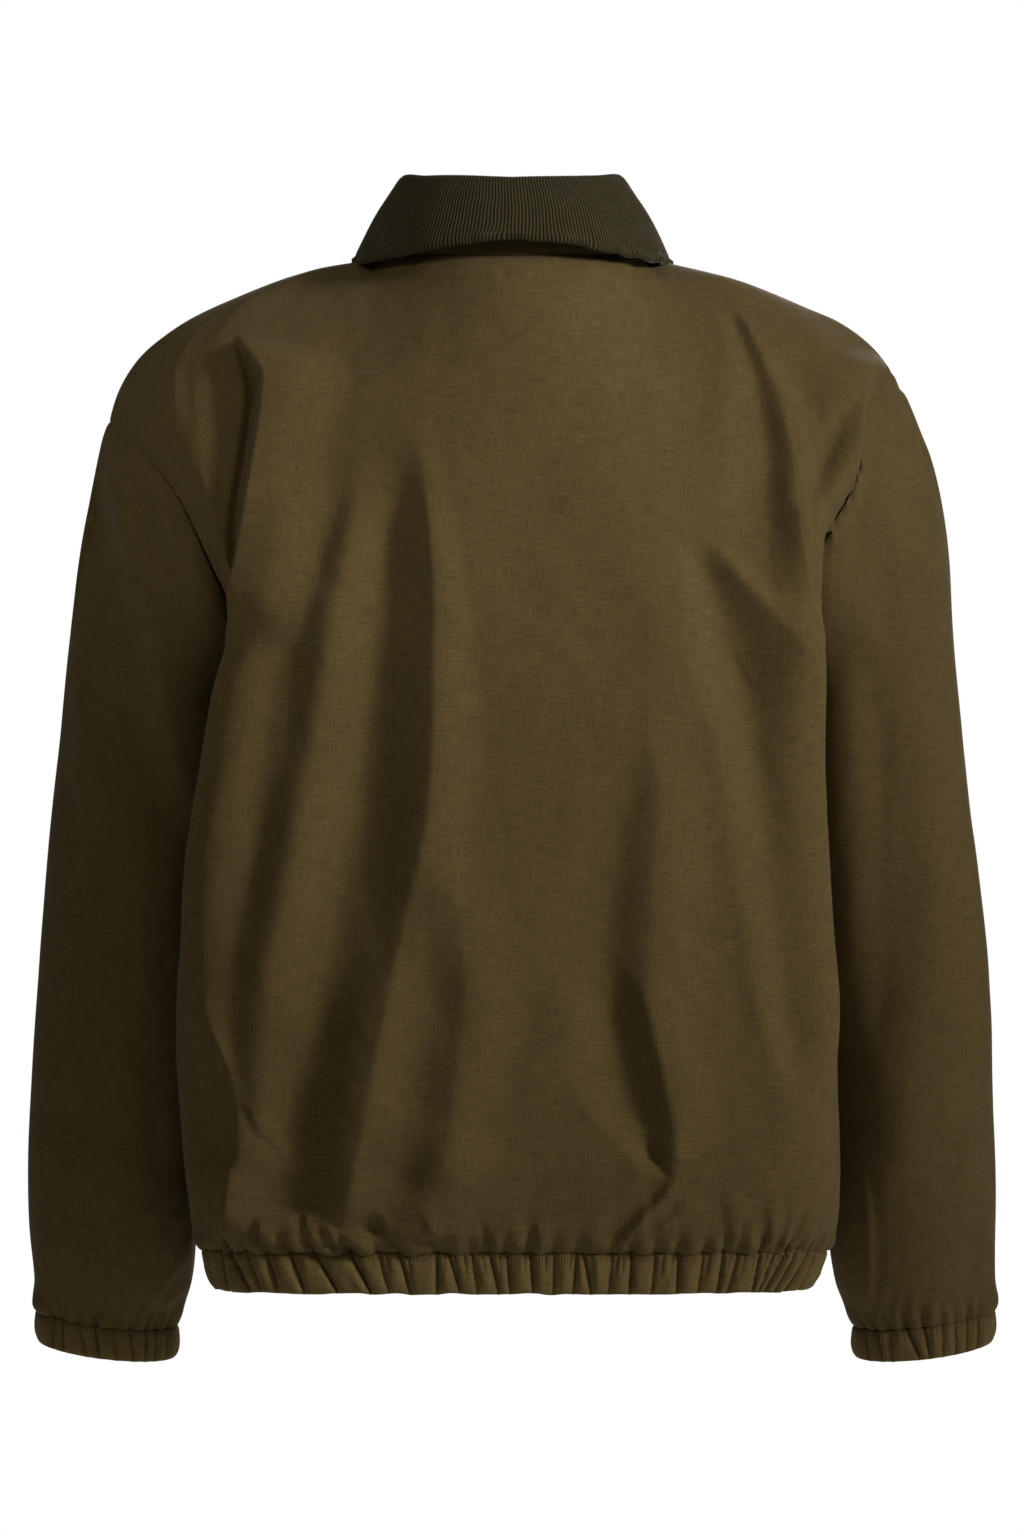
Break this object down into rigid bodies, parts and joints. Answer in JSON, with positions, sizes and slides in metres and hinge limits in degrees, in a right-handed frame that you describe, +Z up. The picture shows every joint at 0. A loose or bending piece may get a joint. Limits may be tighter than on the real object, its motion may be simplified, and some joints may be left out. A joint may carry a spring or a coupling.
{
  "type": "bomber jacket",
  "caption": "Relaxed blouson jacket in slub weave: dropped shoulders, turned-down corduroy collar, gathered cuffs and hem band, front zip; filled out as worn and empty inside.",
  "frame": {"origin": "middle of the neck opening, level with the neck ends of the shoulder seams, where the wearer's shoulders carry the jacket", "axes": "+Z up, the front faces -Y, +X toward the wearer's left"},
  "size_m": [0.6404, 0.2569, 0.7796],
  "materials": {
    "slub_cloth": "matt olive-brown plain weave with uneven slub yarns",
    "corduroy": "dark olive needle corduroy, soft nap with fine upright wales",
    "zip_tape": "dark woven tape",
    "zip_metal": "dark aged brass, softly brushed"
  },
  "bodies": {
    "garment": {"back": "slub_cloth", "front_left": "slub_cloth", "front_right": "slub_cloth", "sleeve_left": "slub_cloth", "sleeve_right": "slub_cloth", "cuff_left": "slub_cloth", "cuff_right": "slub_cloth", "hem_band": "slub_cloth", "collar_stand": "slub_cloth", "collar_fall": "corduroy", "zip_tape_left": "zip_tape", "zip_tape_right": "zip_tape", "zip_slider": "zip_metal", "zip_box": "zip_metal"},
    "pull_tab": {"zip_pull": "zip_metal"}
  },
  "joints": [
    {"name": "pull_tab_swing", "type": "hinge", "parent": "garment", "child": "pull_tab", "pos_m": [0, -0.10756, -0.10898], "axis": [-1, 0, 0], "range_deg": [0, 180]}
  ]
}
